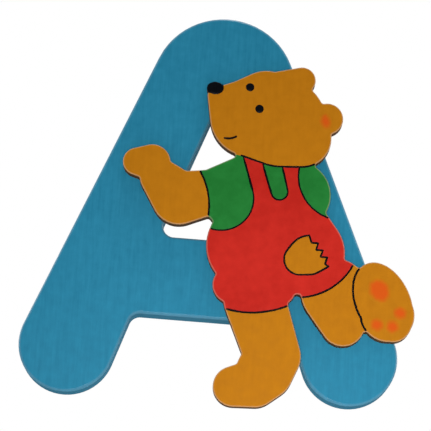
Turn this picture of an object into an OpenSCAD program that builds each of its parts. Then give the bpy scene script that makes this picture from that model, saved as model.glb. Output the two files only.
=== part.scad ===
// Wooden nursery letter: a painted letter board with a thin bear cut-out glued on its front.
// Everything is drawn in the letter's own plane first: x to the right of the letter's axis,
// y up from its feet. It is then stood upright, so +Z is up and the front faces -Y.
// The origin is on the flat back, in the middle of the crossbar, where the letter is stuck to a door.

/* [Letter board] */
// height from the right foot to the top of the rounded apex
letter_h = 80; // [60:1:120]
// thickness of the letter's board
letter_t = 6; // [4:0.5:12]
// radius of the rounded apex
apex_r = 15; // [10:0.5:20]
// radius of each rounded foot
foot_r = 9.8; // [7:0.1:14]
// twice the distance of the right foot's centre from the letter's axis
foot_spread = 58; // [45:0.1:80]
// how much nearer to the letter's axis the left foot is than the right one
left_foot_in = 0.4; // [-2:0.1:2]
// how much lower the left foot reaches than the right one
left_foot_low = 0.6; // [-2:0.1:2]
// height of the crossbar's lower edge above the feet
bar_low = 16.1; // [12:0.1:24]
// height of the crossbar itself
bar_h = 16.4; // [10:0.1:22]
// fall of the crossbar towards the right, in degrees
bar_fall = 1; // [0:0.5:4]
// width of a leg, measured level, at the crossbar's lower edge
leg_w_low = 20.6; // [14:0.1:26]
// width of a leg, measured level, at the crossbar's upper edge
leg_w_high = 18; // [12:0.1:24]
// height of wood above the tip of the counter
tip_wall = 16.2; // [12:0.1:24]
// radius left by the saw in the counter and under the crossbar
saw_r = 2.3; // [0.5:0.1:3]
// radius of the letter's sanded edges
letter_ease_r = 0.6; // [0.2:0.05:1.5]

/* [Bear board] */
// thickness of the bear's board
bear_t = 3; // [2:0.5:6]
// radius left by the saw between the bear's limbs
bear_saw_r = 0.6; // [0.3:0.1:1.5]
// radius of the bear's sanded edges
bear_ease_r = 0.3; // [0.1:0.05:1]

/* [Bear head] */
// centre of the tip of the muzzle
nose_tip_at = [-1.6, 62.4]; // [-40:0.1:90]
// radius of the tip of the muzzle
nose_tip_r = 1.6; // [1:0.1:4]
// centre of the jaw
jaw_at = [5.9, 58.2]; // [-40:0.1:90]
// radius of the jaw
jaw_r = 8.3; // [5:0.1:12]
// centre of the brow
brow_at = [9.1, 61.3]; // [-40:0.1:90]
// radius of the brow
brow_r = 7.1; // [3:0.1:9]
// centre of the round of the head
head_at = [12.2, 57.6]; // [-40:0.1:90]
// radius of the round of the head
head_r = 9.5; // [6:0.1:13]
// centre of the cheek
cheek_at = [16.7, 54.5]; // [-40:0.1:90]
// radius of the cheek
cheek_r = 6.2; // [3:0.1:10]
// centre of the ear nearer the brow
ear_front_at = [16.2, 66.8]; // [-40:0.1:90]
// centre of the ear nearer the neck
ear_back_at = [21.8, 58.9]; // [-40:0.1:90]
// radius of the ear nearer the brow
ear_front_r = 2.8; // [1.5:0.1:5]
// radius of the ear nearer the neck
ear_back_r = 3.3; // [1.5:0.1:5]
// centre of the root of the ear nearer the brow
ear_root_at = [11.5, 64.1]; // [-40:0.1:90]
// radius of the root of the ear nearer the brow
ear_root_r = 4.3; // [2:0.1:7]

/* [Bear arm] */
// centre of the paw
paw_at = [-16.8, 47.4]; // [-40:0.1:90]
// radius of the paw
paw_r = 2.9; // [2:0.1:7]
// centre of the heel of the hand
hand_at = [-13.7, 47.4]; // [-40:0.1:90]
// radius of the heel of the hand
hand_r = 3.8; // [2:0.1:7]
// centre of the wrist
wrist_at = [-12, 44.4]; // [-40:0.1:90]
// radius of the wrist
wrist_r = 4; // [2:0.1:6]
// centre of the elbow
elbow_at = [-7.7, 40.3]; // [-40:0.1:90]
// radius of the elbow
elbow_r = 5.6; // [3:0.1:9]
// centre of the arm where it leaves the sleeve
cuff_at = [-2.1, 41.7]; // [-40:0.1:90]
// radius of the arm where it leaves the sleeve
cuff_r = 4.8; // [3:0.1:8]
// centre of the round line that ends the sleeve
cuff_line_at = [-15.9, 38.3]; // [-40:0.1:90]
// radius of the round line that ends the sleeve
cuff_line_r = 14.5; // [8:0.1:20]

/* [Bear shirt] */
// centre of the sleeve over the upper arm
sleeve_at = [-1.7, 43.3]; // [-40:0.1:90]
// radius of the sleeve over the upper arm
sleeve_r = 3.2; // [2:0.1:6]
// centre of the shoulder under the chin
neck_at = [6, 46.2]; // [-40:0.1:90]
// radius of the shoulder under the chin
neck_r = 4.2; // [2:0.1:8]
// centre of the sleeve's lower end under the arm
underarm_at = [2.7, 39.5]; // [-40:0.1:90]
// radius of the sleeve's lower end under the arm
underarm_r = 4.8; // [3:0.1:8]
// centre of the lower part of the armhole
armhole_low_at = [0.9, 40.7]; // [-40:0.1:90]
// radius of the lower part of the armhole
armhole_low_r = 6.7; // [3:0.1:9]
// centre of the upper part of the armhole
armhole_high_at = [-0.2, 47.6]; // [-40:0.1:90]
// radius of the upper part of the armhole
armhole_high_r = 5.6; // [3:0.1:9]
// centre of the rounded bottom of the shirt front between the straps
front_low_at = [12.8, 42.8]; // [-40:0.1:90]
// radius of the rounded bottom of the shirt front
front_low_r = 1.7; // [1:0.1:4]
// centre of the top of the shirt front
front_high_at = [11, 48.6]; // [-40:0.1:90]
// radius of the top of the shirt front
front_high_r = 1.9; // [1:0.1:4]
// centre of the far shoulder with its sleeve
far_shoulder_at = [16.1, 42.4]; // [-40:0.1:90]
// radius of the far shoulder with its sleeve
far_shoulder_r = 7.2; // [4:0.1:10]
// centre of the round line between the far sleeve and the strap
strap_at = [25.7, 46.8]; // [-40:0.1:90]
// radius of the round line between the far sleeve and the strap
strap_r = 9.2; // [6:0.1:14]

/* [Bear dungarees] */
// centre of the chest
chest_at = [11.8, 42.8]; // [-40:0.1:90]
// radius of the chest
chest_r = 6.4; // [4:0.1:11]
// centre of the belly
belly_at = [8.1, 31.3]; // [-40:0.1:90]
// radius of the belly
belly_r = 9.6; // [6:0.1:13]
// centre of the hip
hip_at = [18.2, 30.4]; // [-40:0.1:90]
// radius of the hip
hip_r = 8.6; // [5:0.1:12]
// centre of the front of the trouser leg
leg_front_at = [4.1, 22.9]; // [-40:0.1:90]
// radius of the front of the trouser leg
leg_front_r = 3.8; // [2:0.1:7]
// centre of the back of the trouser leg
leg_back_at = [13.5, 22.8]; // [-40:0.1:90]
// radius of the back of the trouser leg
leg_back_r = 3.7; // [2:0.1:7]
// centre of the round hem of the standing leg
hem_at = [7.5, 36.4]; // [-40:0.1:90]
// radius of the round hem of the standing leg
hem_r = 19; // [12:0.1:26]
// centre of the round hem over the raised thigh
seat_at = [16.8, 34.2]; // [-40:0.1:90]
// radius of the round hem over the raised thigh
seat_r = 13.1; // [9:0.1:18]
// centre of the upper round of the tear that shows the fur
tear_high_at = [19.7, 29.7]; // [-40:0.1:90]
// radius of the upper round of the tear
tear_high_r = 4.4; // [2:0.1:6]
// direction of the upper tip of the torn side from the middle of the upper round
tear_top_turn = 94; // [60:1:120]
// centre of the left round of the tear
tear_at = [17.7, 29]; // [-40:0.1:90]
// radius of the left round of the tear
tear_r = 3.2; // [2:0.1:6]
// centre of the lower round of the tear
tear_low_at = [20, 28.3]; // [-40:0.1:90]
// radius of the lower round of the tear
tear_low_r = 2.3; // [1:0.1:6]
// lower tip of the torn side
tear_tip_at = [23.7, 27.9]; // [-40:0.1:90]
// share of the torn side, from its lower tip, that the teeth take up
tear_run = 0.8; // [0.4:0.05:0.95]
// how far the torn teeth stand out from the line between the tips
tear_tooth = 0.7; // [0.2:0.1:2]
// how far the torn side is worn in between the teeth
tear_worn = 0.4; // [0:0.1:1.5]
// number of torn teeth
tear_teeth = 4; // [3:1:9]

/* [Bear legs] */
// centre of the knee of the standing leg
knee_at = [9, 20.1]; // [-40:0.1:90]
// radius of the knee
knee_r = 6.3; // [3:0.1:9]
// centre of the calf of the standing leg
calf_at = [13.3, 8.8]; // [-40:0.1:90]
// radius of the calf
calf_r = 5.7; // [3:0.1:9]
// centre of the heel
heel_at = [11.9, 5.7]; // [-40:0.1:90]
// radius of the heel
heel_r = 5.8; // [4:0.1:9]
// centre of the ball of the standing foot
ball_at = [10, 3.1]; // [-40:0.1:90]
// radius of the ball of the standing foot
ball_r = 4.9; // [3:0.1:8]
// centre of the toes
toe_at = [5.7, 2.2]; // [-40:0.1:90]
// radius of the toes
toe_r = 4.1; // [2:0.1:6]
// centre of the raised thigh
thigh_at = [25.3, 22.6]; // [-40:0.1:90]
// radius of the raised thigh
thigh_r = 7; // [3:0.1:9]
// centre of the raised heel
raised_heel_at = [27.1, 16.2]; // [-40:0.1:90]
// radius of the raised heel
raised_heel_r = 4.5; // [2:0.1:7]
// centre of the sole
sole_at = [35.1, 21.3]; // [-40:0.1:90]
// half length of the sole
sole_long = 8.6; // [5:0.1:12]
// half width of the sole
sole_wide = 5.6; // [3:0.1:8]
// turn of the sole's length from level, in degrees
sole_turn = 116; // [90:1:180]
// centre of the broad end of the sole, at its toes
sole_toes_at = [36.1, 18.7]; // [-40:0.1:90]
// radius of the broad end of the sole
sole_toes_r = 5.5; // [3:0.1:8]

/* [Face and pads] */
// centre of the printed nose
nose_at = [-1.7, 64]; // [-40:0.1:90]
// half width of the printed nose
nose_rx = 1.7; // [0.8:0.1:3]
// half height of the printed nose
nose_rz = 1.3; // [0.8:0.1:3]
// centre of the eye nearer the brow
eye_front_at = [5.5, 64.6]; // [-40:0.1:90]
// centre of the eye nearer the cheek
eye_back_at = [7.7, 60.1]; // [-40:0.1:90]
// radius of each eye
eye_r = 0.8; // [0.4:0.05:1.5]
// centre of the smile's arc
smile_at = [1.5, 56.6]; // [-40:0.1:90]
// radius of the smile's arc
smile_r = 3.2; // [1:0.1:5]
// half angle of the smile's arc, in degrees
smile_half = 27; // [15:1:80]
// turn of the smile, up towards the cheek, in degrees
smile_turn = 11; // [-30:1:30]
// centre of the main pad of the sole
pad_at = [34.2, 23.6]; // [-40:0.1:90]
// half length of the main pad
pad_long = 2.2; // [1:0.1:4]
// half width of the main pad
pad_wide = 1.8; // [1:0.1:4]
// turn of the main pad's length from level, in degrees
pad_turn = 123; // [0:1:180]
// centre of the first toe pad
toe_pad_a_at = [38.6, 19.2]; // [-40:0.1:90]
// centre of the second toe pad
toe_pad_b_at = [37.2, 16.4]; // [-40:0.1:90]
// centre of the third toe pad
toe_pad_c_at = [34, 16.5]; // [-40:0.1:90]
// radius of each toe pad
toe_pad_r = 1.1; // [0.6:0.05:2]
// centre of the blush inside the ear
ear_pad_at = [21.5, 58.3]; // [-40:0.1:90]
// half length of the blush inside the ear
ear_pad_long = 1.4; // [0.6:0.1:3]
// half width of the blush inside the ear
ear_pad_wide = 0.8; // [0.4:0.1:2]
// turn of the blush from level, in degrees
ear_pad_turn = 101; // [0:1:180]

/* [Print and glue] */
// thickness of each printed colour
print_t = 0.1; // [0.05:0.01:0.3]
// width of the printed black lines
line_w = 0.45; // [0.25:0.05:1]
// gap between neighbouring printed colours
print_gap = 0.02; // [0.01:0.01:0.1]
// thickness of the glue between the two boards
glue_t = 0.1; // [0.05:0.01:0.3]
// how far the glue stays in from the edges of both boards
glue_in = 1.6; // [0.8:0.1:4]

/* [Hidden] */
// step of the curves, in degrees, here and in the saw's corners
arc_step = 6;
$fa = arc_step;
$fs = 0.3;
// steps that make up a sanded edge
ease_steps = 3;
// how far the printed colours stay in from the bear's outline, on its flat face
print_in = bear_ease_r + print_gap;
// centres of the left and right feet: distance from the letter's axis, and height
feet = [[foot_spread / 2 - left_foot_in, foot_r - left_foot_low], [foot_spread / 2, foot_r]];
// lean of the letter's left and right outer edges, each of which touches the apex and a foot
lean = [for (f = feet) edge_lean(f[0], letter_h - apex_r - f[1])];
// distance of each outer edge from the middle of the letter's baseline
edge_off = [for (a = lean) sin(a) * (letter_h - apex_r) + apex_r];
// heights of the crossbar's upper edge and middle, which is where the letter is mounted
bar_high = bar_low + bar_h;
bar_mid = bar_low + bar_h / 2;
// left and right half widths of the gap under the crossbar and of the counter above it
gap_x = [for (i = [0, 1]) outer_x(i, bar_low) - leg_w_low];
counter_x = [for (i = [0, 1]) outer_x(i, bar_high) - leg_w_high];
// lean of the left and right legs' inner edges, which touch the round feet
inner_lean = [for (i = [0, 1]) inner_edge_lean(feet[i][0] - gap_x[i], bar_low - feet[i][1])];
// depths of the bear's back and front faces in front of the letter's back
bear_y = letter_t + glue_t;
print_y = bear_y + bear_t;

// which piece to draw, or all of them

// Lean of the edge that touches the apex and a foot, from the foot's distance and depth below the apex.
function edge_lean(x, rise) = atan2(x, rise) - asin((apex_r - foot_r) / norm([x, rise]));

// Lean of the edge from the corner under the crossbar that touches a foot that far out and down from it.
function inner_edge_lean(x, drop) = atan2(x, drop) - asin(min(1, foot_r / norm([x, drop])));

// Distance of the letter's left (0) or right (1) outer edge from its axis at a given height.
function outer_x(i, z) = (edge_off[i] - z * sin(lean[i])) / cos(lean[i]);

// Height of a level line on the crossbar, which falls a little to the right.
function fall(x, z) = z - x * tan(bar_fall);

// Points of an arc between two angles: its two ends, and the even steps that lie well between them.
function arc(at, r, from, to) =
    let (clear = arc_step / 3)
    let (evens = [for (a = [arc_step * ceil((from + clear) / arc_step) : arc_step : to - clear]) a])
    [for (a = concat([from], evens, [to])) at + r * [cos(a), sin(a)]];

// Direction in which the belt from one disc to the next lies off their centres, on the right of the way.
function belt_turn(a, b) =
    let (way = b[0] - a[0])
    atan2(way[1], way[0]) - acos((a[1] - b[1]) / norm(way));

// The arc of one disc between the belt that comes to it and the belt that leaves it.
function belted_arc(before, here, after) =
    let (from = belt_turn(before, here))
    let (to = belt_turn(here, after))
    arc(here[0], here[1], from, from + (to - from + 720) % 360);

module disc(at, r) {
    polygon(arc(at, r, 0, 360 - arc_step));
}

// An oval with half axes a and b, the first of which is turned from level.
module oval(at, a, b, turn) {
    translate(at)
        rotate(turn)
            scale([1, b / a])
                disc([0, 0], a);
}

// A rounded limb, as if a band were pulled round discs: each entry is a centre and a radius,
// in order anticlockwise.
module limb(discs) {
    n = len(discs);
    polygon([for (i = [0 : n - 1])
        for (p = belted_arc(discs[(i + n - 1) % n], discs[i], discs[(i + 1) % n])) p]);
}

// A line of the printed width along the outline of a flat shape.
module outline_line() {
    difference() {
        offset(r = line_w / 2)
            children();
        offset(r = -line_w / 2)
            children();
    }
}

// Rounds the inner corners of a flat shape, as a saw blade leaves them.
module sawn(r) {
    offset(r = -r)
        offset(delta = r)
            children();
}

// A board of thickness t with both faces flat and its edges sanded round to radius r.
module sanded_board(t, r) {
    for (i = [0 : ease_steps]) {
        turn = 90 * i / ease_steps;
        back = r * (1 - sin(turn));
        translate([0, 0, back])
            linear_extrude(height = t - 2 * back)
                offset(delta = -r * (1 - cos(turn)))
                    children();
    }
}

// Stands a drawing upright: its face turns to the front and its height becomes Z.
module stand(depth) {
    translate([0, -depth, -bar_mid])
        rotate([90, 0, 0])
            children();
}

// A printed colour on the bear's face, clear of the sanded edge and of its neighbours.
module printed() {
    stand(print_y)
        linear_extrude(height = print_t)
            offset(delta = -print_gap)
                intersection() {
                    offset(delta = -print_in)
                        bear_outline();
                    children();
                }
}

// Letter

// The whole outline: up from the crossbar over the right foot, the apex and the left foot, with
// straight edges that touch the round ends.
module letter_body_shape() {
    polygon(concat(
        arc(feet[1], foot_r, inner_lean[1] - 180, lean[1]),
        arc([0, letter_h - apex_r], apex_r, lean[1], 180 - lean[0]),
        arc([-feet[0][0], feet[0][1]], foot_r, 180 - lean[0], 360 - inner_lean[0]),
        [[-gap_x[0], fall(-gap_x[0], bar_low)], [gap_x[1], fall(gap_x[1], bar_low)]]));
}

// The closed opening above the crossbar.
module counter_shape() {
    polygon([[-counter_x[0], fall(-counter_x[0], bar_high)],
             [counter_x[1], fall(counter_x[1], bar_high)],
             [0, letter_h - tip_wall]]);
}

module letter_outline() {
    sawn(saw_r)
        difference() {
            letter_body_shape();
            counter_shape();
        }
}

// Bear

module nose_shape() {
    oval(nose_at, nose_rx, nose_rz, 0);
}

module head_shape() {
    limb([[nose_tip_at, nose_tip_r], [jaw_at, jaw_r]]);
    limb([[jaw_at, jaw_r], [head_at, head_r], [cheek_at, cheek_r], [head_at, head_r], [brow_at, brow_r]]);
    nose_shape();
    limb([[ear_front_at, ear_front_r], [ear_root_at, ear_root_r]]);
    disc(ear_back_at, ear_back_r);
}

module arm_shape() {
    limb([[paw_at, paw_r], [hand_at, hand_r]]);
    limb([[wrist_at, wrist_r], [elbow_at, elbow_r]]);
    limb([[elbow_at, elbow_r], [cuff_at, cuff_r]]);
}

module trunk_shape() {
    limb([[chest_at, chest_r], [belly_at, belly_r], [hip_at, hip_r]]);
}

module shoulders_shape() {
    limb([[sleeve_at, sleeve_r], [underarm_at, underarm_r], [neck_at, neck_r]]);
    disc(far_shoulder_at, far_shoulder_r);
}

module trouser_leg_shape() {
    intersection() {
        union() {
            limb([[leg_front_at, leg_front_r], [leg_back_at, leg_back_r]]);
            standing_leg_shape();
        }
        disc(hem_at, hem_r);
    }
}

module standing_leg_shape() {
    limb([[knee_at, knee_r], [calf_at, calf_r]]);
    limb([[calf_at, calf_r], [heel_at, heel_r]]);
    limb([[heel_at, heel_r], [ball_at, ball_r]]);
    limb([[ball_at, ball_r], [toe_at, toe_r]]);
}

module raised_leg_shape() {
    limb([[thigh_at, thigh_r], [raised_heel_at, raised_heel_r]]);
}

module sole_shape() {
    oval(sole_at, sole_long, sole_wide, sole_turn);
    disc(sole_toes_at, sole_toes_r);
}

module bear_outline() {
    sawn(bear_saw_r) {
        head_shape();
        arm_shape();
        shoulders_shape();
        trunk_shape();
        limb([[leg_front_at, leg_front_r], [leg_back_at, leg_back_r]]);
        standing_leg_shape();
        raised_leg_shape();
        sole_shape();
    }
}

// Clothes

// The head with the line under the chin, where the clothes end.
module chin_edge_shape() {
    offset(delta = line_w / 2)
        head_shape();
}

module armhole_shape() {
    limb([[armhole_low_at, armhole_low_r], [armhole_high_at, armhole_high_r]]);
}

module shirt_front_shape() {
    limb([[front_low_at, front_low_r], [front_high_at, front_high_r]]);
}

module shirt_shape() {
    difference() {
        union() {
            armhole_shape();
            shirt_front_shape();
            disc(strap_at, strap_r);
        }
        disc(cuff_line_at, cuff_line_r);
        chin_edge_shape();
    }
}

// The tear is round above, on the left and below, with a torn side of teeth between its two tips.
module tear_shape() {
    high = [tear_high_at, tear_high_r];
    left = [tear_at, tear_r];
    low = [tear_low_at, tear_low_r];
    top = arc(high[0], high[1], tear_top_turn, tear_top_turn + (belt_turn(high, left) - tear_top_turn + 720) % 360);
    way = top[0] - tear_tip_at;
    outward = [way[1], -way[0]] / norm(way);
    last = 2 * tear_teeth - 1;
    teeth = [for (i = [1 : last])
        tear_tip_at + way * tear_run * i / last + outward * (i % 2 == 1 ? -tear_worn : tear_tooth)];
    polygon(concat([tear_tip_at], teeth, top, belted_arc(high, left, low), belted_arc(left, low, [tear_tip_at, 0])));
}

module dungarees_shape() {
    difference() {
        union() {
            trunk_shape();
            disc(neck_at, neck_r);
            disc(far_shoulder_at, far_shoulder_r);
            trouser_leg_shape();
            intersection() {
                disc(seat_at, seat_r);
                union() {
                    trunk_shape();
                    raised_leg_shape();
                }
            }
        }
        armhole_shape();
        shirt_front_shape();
        disc(strap_at, strap_r);
        chin_edge_shape();
        tear_shape();
    }
}

module lines_shape() {
    intersection() {
        outline_line()
            head_shape();
        union() {
            trunk_shape();
            shoulders_shape();
        }
    }
    intersection() {
        outline_line()
            disc(cuff_line_at, cuff_line_r);
        armhole_shape();
    }
    difference() {
        outline_line()
            armhole_shape();
        disc(cuff_line_at, cuff_line_r);
        head_shape();
    }
    difference() {
        union() {
            outline_line()
                shirt_front_shape();
            outline_line()
                disc(strap_at, strap_r);
        }
        head_shape();
    }
    intersection() {
        outline_line()
            disc(hem_at, hem_r);
        standing_leg_shape();
    }
    intersection() {
        outline_line()
            disc(seat_at, seat_r);
        raised_leg_shape();
    }
    intersection() {
        outline_line()
            sole_shape();
        raised_leg_shape();
    }
    outline_line()
        tear_shape();
}

module face_shape() {
    nose_shape();
    disc(eye_front_at, eye_r);
    disc(eye_back_at, eye_r);
    intersection() {
        outline_line()
            disc(smile_at, smile_r);
        translate(smile_at)
            rotate(smile_turn)
                polygon(2 * smile_r * [[0, 0],
                    [-sin(smile_half), -cos(smile_half)],
                    [sin(smile_half), -cos(smile_half)]]);
    }
}

module pads_shape() {
    oval(pad_at, pad_long, pad_wide, pad_turn);
    disc(toe_pad_a_at, toe_pad_r);
    disc(toe_pad_b_at, toe_pad_r);
    disc(toe_pad_c_at, toe_pad_r);
    oval(ear_pad_at, ear_pad_long, ear_pad_wide, ear_pad_turn);
}

// Pieces

module letter_board() {
    color([0.17, 0.49, 0.61])
        stand(0)
            sanded_board(letter_t, letter_ease_r)
                letter_outline();
}

module bear_board() {
    color([0.72, 0.45, 0.09])
        stand(bear_y)
            sanded_board(bear_t, bear_ease_r)
                bear_outline();
}

// The glue lies wherever the bear covers the letter.
module glue_film() {
    color([0.93, 0.9, 0.8])
        stand(letter_t)
            linear_extrude(height = glue_t)
                offset(r = -glue_in)
                    intersection() {
                        letter_outline();
                        bear_outline();
                    }
}

module shirt_print() {
    color([0.14, 0.46, 0.19])
        printed()
            difference() {
                shirt_shape();
                lines_shape();
            }
}

module dungarees_print() {
    color([0.78, 0.17, 0.14])
        printed()
            difference() {
                dungarees_shape();
                lines_shape();
            }
}

module pads_print() {
    color([0.87, 0.35, 0.1])
        printed()
            pads_shape();
}

module line_print() {
    color([0.04, 0.04, 0.05])
        printed()
            lines_shape();
}

module face_print() {
    color([0.04, 0.04, 0.05])
        printed()
            face_shape();
}

letter_board();
bear_board();
glue_film();
shirt_print();
dungarees_print();
pads_print();
line_print();
face_print();
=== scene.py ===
# %% [markdown]
# # A wooden nursery letter
# The real object is two thin boards. The letter is sawn from the thicker one and painted blue. A small
# bear is sawn from a thinner one, printed in a few flat colours and glued on the letter's front.
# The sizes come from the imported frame, so this lesson reads every outline from its solids and builds the
# visible pieces over them: rounded edges, paint with the grain under it, ink lines and airbrushed spots.

# %% Load the frame
import math

import bmesh
import bpy
import numpy as np
from mathutils import Matrix, Vector
from mathutils.geometry import delaunay_2d_cdt


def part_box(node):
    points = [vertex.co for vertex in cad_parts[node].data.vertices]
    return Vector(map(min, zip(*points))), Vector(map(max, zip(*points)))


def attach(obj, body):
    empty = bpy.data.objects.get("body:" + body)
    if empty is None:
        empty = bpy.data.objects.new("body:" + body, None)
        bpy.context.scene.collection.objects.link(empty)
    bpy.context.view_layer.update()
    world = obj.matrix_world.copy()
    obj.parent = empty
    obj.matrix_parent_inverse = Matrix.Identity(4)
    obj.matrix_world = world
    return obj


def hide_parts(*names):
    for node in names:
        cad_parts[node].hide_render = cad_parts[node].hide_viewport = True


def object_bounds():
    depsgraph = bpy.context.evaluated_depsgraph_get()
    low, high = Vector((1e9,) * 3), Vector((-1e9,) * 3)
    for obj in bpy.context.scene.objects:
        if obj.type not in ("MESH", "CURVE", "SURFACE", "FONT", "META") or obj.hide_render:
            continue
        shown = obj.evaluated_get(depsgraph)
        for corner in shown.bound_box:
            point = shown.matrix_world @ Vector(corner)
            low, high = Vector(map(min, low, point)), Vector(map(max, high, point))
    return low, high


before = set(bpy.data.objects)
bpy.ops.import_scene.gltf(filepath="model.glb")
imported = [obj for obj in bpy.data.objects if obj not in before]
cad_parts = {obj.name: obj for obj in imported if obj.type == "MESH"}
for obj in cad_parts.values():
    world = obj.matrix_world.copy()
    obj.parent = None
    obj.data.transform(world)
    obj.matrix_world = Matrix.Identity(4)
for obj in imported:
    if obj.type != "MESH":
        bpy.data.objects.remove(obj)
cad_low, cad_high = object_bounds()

MM = 0.001
print("nodes", sorted(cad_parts), "box", [round(v / MM, 2) for v in (*cad_low, *cad_high)])

# %% [markdown]
# ## The camera
# The photograph looks a little up at the letter, so the undersides of the crossbar and the feet show, and
# the letter leans a few degrees clockwise. A long lens far away keeps the two boards nearly parallel.
# Blender's camera looks along its own -Z, so its matrix is made of the picture's right, up and backward
# directions. That is plainer than hunting for three angles by eye.

# %% Camera
LOOK_UP = math.radians(12.0)
LEAN = math.radians(3.6)
CAMERA_FAR = 0.45
CAMERA_TARGET = Vector((0.0, -0.006, 0.01338))
FOCAL_PIXELS = 2184.5
PICTURE_PIXELS = 431
SENSOR_MM = 36.0
NEAREST_SEEN = 0.01

forward = Vector((0.0, math.cos(LOOK_UP), math.sin(LOOK_UP)))
level = Vector((1.0, 0.0, 0.0))
rise = level.cross(forward)
picture_right = math.cos(LEAN) * level + math.sin(LEAN) * rise
picture_up = -math.sin(LEAN) * level + math.cos(LEAN) * rise

camera = bpy.data.objects.new("photo_camera", bpy.data.cameras.new("photo_camera"))
camera.data.sensor_width = SENSOR_MM
camera.data.lens = SENSOR_MM * FOCAL_PIXELS / PICTURE_PIXELS
camera.data.clip_start = NEAREST_SEEN
turned = Matrix((picture_right, picture_up, -forward)).transposed().to_4x4()
camera.matrix_world = Matrix.Translation(CAMERA_TARGET - forward * CAMERA_FAR) @ turned
bpy.context.scene.collection.objects.link(camera)
bpy.context.scene.camera = camera
bpy.context.scene.view_settings.view_transform = "Standard"
print("lens", round(camera.data.lens, 1), "mm, camera at", [round(v, 3) for v in camera.location])

# %% [markdown]
# ## Helpers for nodes
# Materials and Geometry Nodes are trees of nodes, and both are built in the same few words: make a node,
# set its properties, and give each input either another node's socket or a plain value. A few small helpers
# do that, so that each later cell reads like a recipe.


# %% Node helpers
def put(tree, socket, source):
    """Links an input from another socket, or sets it to a plain value."""
    if isinstance(source, bpy.types.NodeSocket):
        tree.links.new(source, socket)
    else:
        socket.default_value = source


def add(tree, kind, inputs=None, **settings):
    """Makes a node, sets its properties and gives it its inputs."""
    made = tree.nodes.new(kind)
    for name, value in settings.items():
        setattr(made, name, value)
    for key, source in (inputs or {}).items():
        put(tree, made.inputs[key], source)
    return made


def calc(tree, operation, *inputs):
    """The result of a Math node with these inputs."""
    return add(tree, "ShaderNodeMath", dict(enumerate(inputs)), operation=operation).outputs[0]


def group_tree(name, kind, inputs, outputs):
    """An empty node group with named sockets, its input node and its output node."""
    tree = bpy.data.node_groups.new(name, kind)
    for label, socket, value in inputs:
        made = tree.interface.new_socket(label, in_out="INPUT", socket_type=socket)
        if value is not None:
            made.default_value = value
    for label, socket in outputs:
        tree.interface.new_socket(label, in_out="OUTPUT", socket_type=socket)
    return tree, tree.nodes.new("NodeGroupInput"), tree.nodes.new("NodeGroupOutput")


print("node helpers ready")

# %% [markdown]
# ## The stage
# The photograph has a plain white ground with no shadow. The world is white to the camera and to mirror
# rays, and gentler as a light, so the colours come out about as they are written. More of that light comes
# from below than from above, because the photograph's undersides are bright. Generated holds a ray's
# direction in the world, so its Z blends the two strengths.

# %% World
LIGHT_ABOVE, LIGHT_BELOW = 0.20, 0.50
WHITE = (1, 1, 1, 1)


def background_rays(tree):
    """1 for rays that see the background plainly: from the camera, off a mirror or through glass."""
    ray = add(tree, "ShaderNodeLightPath")
    mirrored = calc(tree, "MAXIMUM", ray.outputs["Is Camera Ray"], ray.outputs["Is Glossy Ray"])
    return calc(tree, "MAXIMUM", mirrored, ray.outputs["Is Transmission Ray"])


world = bpy.data.worlds.new("studio")
bpy.context.scene.world = world
world.use_nodes = True
sky = world.node_tree
sky.nodes.clear()
toward = add(sky, "ShaderNodeTexCoord")
height = add(sky, "ShaderNodeSeparateXYZ", {0: toward.outputs["Generated"]})
bounce = add(sky, "ShaderNodeMapRange", {"Value": height.outputs["Z"], "From Min": -1.0, "From Max": 1.0,
                                         "To Min": LIGHT_BELOW, "To Max": LIGHT_ABOVE})
strength = add(sky, "ShaderNodeMapRange",
               {"Value": background_rays(sky), "To Min": bounce.outputs[0], "To Max": 1.0})
backdrop = add(sky, "ShaderNodeBackground", {"Strength": strength.outputs[0], "Color": WHITE})
add(sky, "ShaderNodeOutputWorld", {"Surface": backdrop.outputs[0]})
print("world light from above", LIGHT_ABOVE, "and from below", LIGHT_BELOW)

# %% [markdown]
# ## The floor
# The floor lies under the lowest point. The photograph looks up from below it, so the floor is clear from
# below and pale from above: Backfacing mixes the two. It is hidden from diffuse and shadow rays, so it
# neither brightens nor darkens the object. A glow that only the camera and mirrors see makes it pale, and
# it grows outward, where the lamp that lays the object's shadow fades.

# %% Floor
FLOOR_HALF = 3.0

corners = [(-1, -1), (1, -1), (1, 1), (-1, 1)]
floor_mesh = bpy.data.meshes.new("floor")
floor_mesh.from_pydata([(x * FLOOR_HALF, y * FLOOR_HALF, cad_low.z) for x, y in corners], [], [(0, 1, 2, 3)])
floor = bpy.data.objects.new("floor", floor_mesh)
bpy.context.scene.collection.objects.link(floor)
floor.visible_diffuse = False
floor.visible_shadow = False
print("floor at", round(cad_low.z / MM, 2), "mm")

# %% Floor material
FLOOR_COLOUR = (0.84, 0.84, 0.84, 1)
LIFT_NEAR, LIFT_FAR = 0.46, 0.74
LAMP_REACH = 1.1

floor_paint = bpy.data.materials.new("pale_floor")
floor_paint.use_nodes = True
tree = floor_paint.node_tree
tree.nodes.clear()
where = add(tree, "ShaderNodeTexCoord")
outward = add(tree, "ShaderNodeVectorMath", {0: where.outputs["Object"]}, operation="LENGTH")
fade = add(tree, "ShaderNodeMapRange",
           {"Value": outward.outputs["Value"], "From Max": LAMP_REACH, "To Min": LIFT_NEAR, "To Max": LIFT_FAR},
           interpolation_type="SMOOTHSTEP")
lift = calc(tree, "MULTIPLY", background_rays(tree), fade.outputs[0])
matt = add(tree, "ShaderNodeBsdfDiffuse", {"Color": FLOOR_COLOUR})
glow = add(tree, "ShaderNodeEmission", {"Strength": lift, "Color": WHITE})
pale = add(tree, "ShaderNodeAddShader", {0: matt.outputs[0], 1: glow.outputs[0]})
clear = add(tree, "ShaderNodeBsdfTransparent")
below = add(tree, "ShaderNodeNewGeometry")
one_sided = add(tree, "ShaderNodeMixShader",
                {0: below.outputs["Backfacing"], 1: pale.outputs[0], 2: clear.outputs[0]})
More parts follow.
